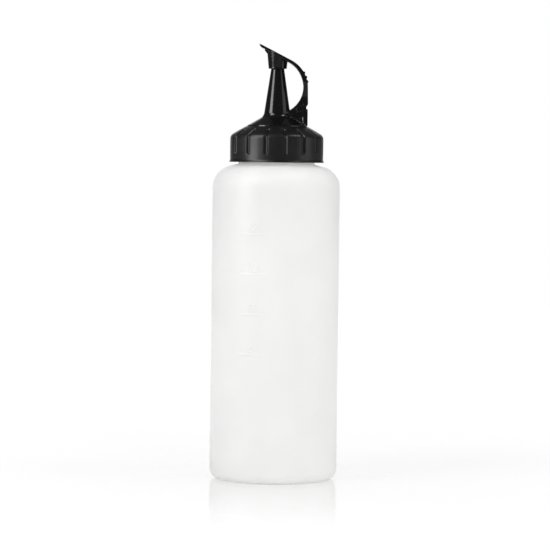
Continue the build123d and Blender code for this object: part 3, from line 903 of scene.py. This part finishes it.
def makeCup():
    # Turned wall of the cup, cut by the slanted plane of the plate: the wall's rows end on that plane
    mouth, mouthRadius, bore, boreTop = pick(cup, "mouth mouthRadius bore boreTop")
    stem, stemTop, lip, skin = pick(cup, "stemRadius stemTop lipRound skin")
    start = mouth + cup["wallFoot"]
    cavity = [
        (0.01, stemTop, 0), (stem, stemTop, 0.15), (stem, boreTop, 0.1), (bore, boreTop, 0.15),
        (bore, mouth, lip), (mouthRadius, mouth, lip), (mouthRadius, start, 0),
    ]
    cavity = evened(roundedPath(cavity, arcStep=15), cup["rowStep"], gap=0.15)[1:]
    angles = fullTurn(cup["columns"])
    c, s = around(angles)
    rim = mouthRadius + 0 * c
    for _ in range(4):
        top = lidTop(rim * c) - skin
        rim = mouthRadius + (top - mouth) * tangent(cup["draft"])
    share = np.linspace(0, 1, 14)[1:, None]
    r = mouthRadius + share * (rim - mouthRadius)
    wall = together(r * c, r * s, start + (top - start) * share)
    inward = np.linspace(1, 0, 9)[1:-1, None] * rim
    disc = together(inward * c, inward * s, lidTop(inward * c) - skin)
    poles = ((0, 0, stemTop), (0, 0, lidTop(0) - skin))
    return makePiece("lidCup", np.vstack([turned(cavity, angles), wall, disc]), poles=poles)


def makePins():
    # both hinge pins, as one round bar along y with rounded ends
    radius, half, edge, step = pick(lid, "pinRadius pinReach pinEdge pinStep")
    c, s = around(np.linspace(0, 90, 5))
    end = together(radius - edge * (1 - c), half - edge * (1 - s))
    path = np.vstack([end[::-1], end * (1, -1)])
    path = withStations(path, np.arange(0.5, 2 * half + radius, step), gap=0.1)
    c, s = around(fullTurn(lid["pinColumns"]))
    grid = together(hinge["x"] + path[:, :1] * c, path[:, 1:], hinge["z"] + path[:, :1] * s)
    return makePiece("lidPins", grid, poles=[(hinge["x"], y, hinge["z"]) for y in (half, -half)])


def makeRib():
    x = np.linspace(lid["tabTip"] + lid["ribStart"], lid["ribEnd"], 12)
    under = lidTop(-lid["tabReach"]) - (x + lid["tabReach"]) * tangent(lid["tabUnderSlope"])
    inner, outer = together(x, under), together(x, lidTop(x) - lid["ribSink"])
    return makeStrap("lidRib", inner, outer, lambda px, pz: 0 * px + lid["ribHalfWidth"], lid["ribEdge"])


def makeLid():
    inner, outer = lidStations()
    piece = makeStrap("flipLid", inner, outer, lidHalfWidth, lid["edge"], ridgeHeight)
    united(piece, [makeRib(), makeCup(), makePins()])
    finishPiece(piece, "spoutPlastic", "lid", "flip_lid")


makeLid()

# Plug: a soft stepped disc in the cup, with a nub that closes the outlet
plug = {
    "face": 206.932,
    "nubHeight": 0.25, "nubFlat": 0.7, "nubRadius": 1.3, "radius": 3.72,
    "discTop": 208.202,
    "stemRadius": 2.17, "stemTop": 210.602, "columns": 72, "rowStep": 0.6,
}


def makePlug():
    face, disc, discTop, stem, stemTop = pick(plug, "face radius discTop stemRadius stemTop")
    tip = face - plug["nubHeight"]
    path = [
        (0, tip, 0), (plug["nubFlat"], tip, 0.2), (plug["nubRadius"], face, 0.2), (disc, face, 0.15),
        (disc, discTop, 0.15), (stem, discTop, 0.1), (stem, stemTop, 0.2), (0, stemTop, 0),
    ]
    path = evened(roundedPath(path, arcStep=12), plug["rowStep"], gap=0.1)
    poles = ((0, 0, path[0, 1]), (0, 0, path[-1, 1]))
    piece = makePiece("tipPlug", turned(path[1:-1], fullTurn(plug["columns"])), poles=poles)
    finishPiece(piece, "sealSilicone", "lid", "tip_seal")


makePlug()

# Studio, in metres: a white sweep that reflects the base faintly, and a tall soft light among weaker ones
studio = {
    "skyForDiffuse": 0.84, "skyForGloss": 0.08,
    "backdropForGloss": 0.9, "backdropAhead": (0.86, 0.97), "backdropTop": (0.35, 0.6),
    "floorRadius": 1.6, "floorRings": (0.02, 0.1, 0.3, 0.8, 1.0), "floorColumns": 96,
    "floorForCamera": 0.35, "floorForDiffuse": 0.88,
    "whiteBehind": (-0.1, 0.3),
    "glowDistance": (0.15, 0.8),
    "floorGlow": (0.62, 0.75),
    "mirrorTone": 0.94, "mirrorDistance": (0.05, 0.24), "mirrorShare": 1.04,
    "sweepIor": 1.5,
}
# azimuth and elevation, distance, width, height, watts, whether gloss shows it, whether it lights the walls
lamps = {
    "keySoftbox": (-60, 13, 0.9, 0.4, 0.44, 3.6, True, False),
    "topSoftbox": (-52, 44, 0.8, 0.36, 0.36, 2.2, True, True),
    "highSoftbox": (72, 56, 0.8, 0.24, 0.24, 0.8, True, True),
    "sideSoftbox": (74, 8, 1.0, 0.6, 0.7, 1.2, True, False),
    "frontSoftbox": (26, 4, 1.1, 0.5, 0.5, 2.3, False, True),
}


def grey(tone):
    return (tone, tone, tone, 1)


def makeWorld():
    size = studio
    world = bpy.data.worlds.new("studioSky")
    bpy.context.scene.world = world
    world.use_nodes = True
    tree = world.node_tree
    path = addNode(tree, "LightPath", {}).outputs
    # white for the camera, through the plastic and in the floor's reflection, where a strength of 1 is white
    seen = [path[kind] for kind in ("Is Camera Ray", "Is Transmission Ray", "Is Singular Ray")]
    seen = addMath(tree, "MAXIMUM", *seen)
    # glossy plastic reflects a dim room, with a white sweep behind the bottle
    ray = addNode(tree, "SeparateXYZ", {0: addNode(tree, "TexCoord", {}).outputs["Generated"]}).outputs
    behind = addRange(tree, ray["Y"], *size["backdropAhead"], 0.0, size["backdropForGloss"])
    low = addRange(tree, ray["Z"], *size["backdropTop"], 1.0, 0.0)
    gloss = addMath(tree, "ADD", size["skyForGloss"], addMath(tree, "MULTIPLY", behind, low))
    glossy = addMath(tree, "MULTIPLY", gloss, path["Is Glossy Ray"])
    plain = addMath(tree, "SUBTRACT", 1.0, path["Is Glossy Ray"])
    unseen = addMath(tree, "ADD", glossy, addMath(tree, "MULTIPLY", plain, size["skyForDiffuse"]))
    hidden = addMath(tree, "MULTIPLY", addMath(tree, "SUBTRACT", 1.0, seen), unseen)
    background = tree.nodes["Background"].inputs
    background["Color"].default_value = grey(1)
    tree.links.new(addMath(tree, "ADD", seen, hidden), background["Strength"])


def makeFloor():
    size = studio
    radii = np.array(size["floorRings"]) * size["floorRadius"]
    points = radii[:, None, None] * together(*around(fullTurn(size["floorColumns"])), 0)
    index = np.arange(points.size // 3).reshape(radii.size, -1)
    quads = together(index[:-1], index[1:], np.roll(index[1:], -1, 1), np.roll(index[:-1], -1, 1))
    mesh = bpy.data.meshes.new("studioFloor")
    mesh.from_pydata(points.reshape(-1, 3), [], [index[0].tolist()] + quads.reshape(-1, 4).tolist())

    material = bpy.data.materials.new("studioFloor")
    material.use_nodes = True
    tree = material.node_tree
    tree.nodes.clear()
    path = addNode(tree, "LightPath", {}).outputs
    place = addNode(tree, "TexCoord", {}).outputs["Object"]
    distance = addNode(tree, "VectorMath", {0: place}, operation="LENGTH").outputs["Value"]
    # in gloss the sweep is white behind the bottle, and dim in front of it as the room is
    beyond = addNode(tree, "SeparateXYZ", {0: place}).outputs["Y"]
    behind = addRange(tree, beyond, *size["whiteBehind"], 0.0, 1.0)
    seen = addMath(tree, "MAXIMUM", path["Is Camera Ray"], path["Is Transmission Ray"])
    white = addMath(tree, "MAXIMUM", seen, addMath(tree, "MULTIPLY", path["Is Glossy Ray"], behind))
    seen = addMath(tree, "MAXIMUM", seen, path["Is Glossy Ray"])
    tones = {"Factor": seen, "A": grey(size["floorForDiffuse"]), "B": grey(size["floorForCamera"])}
    tone = addNode(tree, "Mix", tones, data_type="RGBA").outputs["Result"]
    strength = addRange(tree, distance, *size["glowDistance"], *size["floorGlow"])
    glow = addNode(tree, "Emission", {"Strength": addMath(tree, "MULTIPLY", white, strength)})
    diffuse = addNode(tree, "BsdfDiffuse", {"Color": tone})
    both = addNode(tree, "AddShader", {0: diffuse.outputs[0], 1: glow.outputs[0]})
    # the sweep is glossy, so it mirrors much at a low angle and little from above
    mirror = addNode(tree, "BsdfGlossy", {"Roughness": 0, "Color": grey(size["mirrorTone"])})
    near = addRange(tree, distance, *size["mirrorDistance"], size["mirrorShare"], 0.0)
    low = addNode(tree, "Fresnel", {"IOR": size["sweepIor"]}).outputs["Fac"]
    share = addMath(tree, "MULTIPLY", near, low, path["Is Camera Ray"])
    mix = addNode(tree, "MixShader", {0: share, 1: both.outputs[0], 2: mirror.outputs[0]})
    addNode(tree, "OutputMaterial", {"Surface": mix.outputs[0]})
    mesh.materials.append(material)
    newObject("studioFloor", mesh)


def makeLamps():
    target = Vector((0, 0, 0.12))
    for name, (azimuth, elevation, distance, width, height, power, inGloss, onWalls) in lamps.items():
        light = bpy.data.lights.new(name, "AREA")
        light.shape = "RECTANGLE"
        light.size, light.size_y, light.energy = width, height, power
        (back, right), (flat, up) = around(azimuth), around(elevation)
        outward = Vector((right * flat, -back * flat, up))
        holder = newObject(name, light)
        holder.location = target + outward * distance
        holder.rotation_euler = outward.to_track_quat("Z", "Y").to_euler()
        holder.visible_diffuse = holder.visible_transmission = onWalls
        holder.visible_glossy = inGloss


# Camera: a long lens a little over the cap, rolled as the photograph is
view = {"place": (0, -1.3, 0.16), "aim": (-0.0001, 0, 0.1025), "lens": 169.2, "roll": 0.7}


def makeCamera():
    lens = bpy.data.cameras.new("camera")
    lens.lens, lens.sensor_width, lens.clip_end = view["lens"], 36, 10
    camera = newObject("camera", lens)
    camera.location = view["place"]
    outward = Vector(view["place"]) - Vector(view["aim"])
    turn = outward.to_track_quat("Z", "Y").to_matrix() @ Matrix.Rotation(np.radians(view["roll"]), 3, "Z")
    camera.rotation_euler = turn.to_euler()
    bpy.context.scene.camera = camera


makeWorld()
makeFloor()
makeLamps()
makeCamera()
bpy.context.scene.view_settings.view_transform = "Standard"
print("studio built")
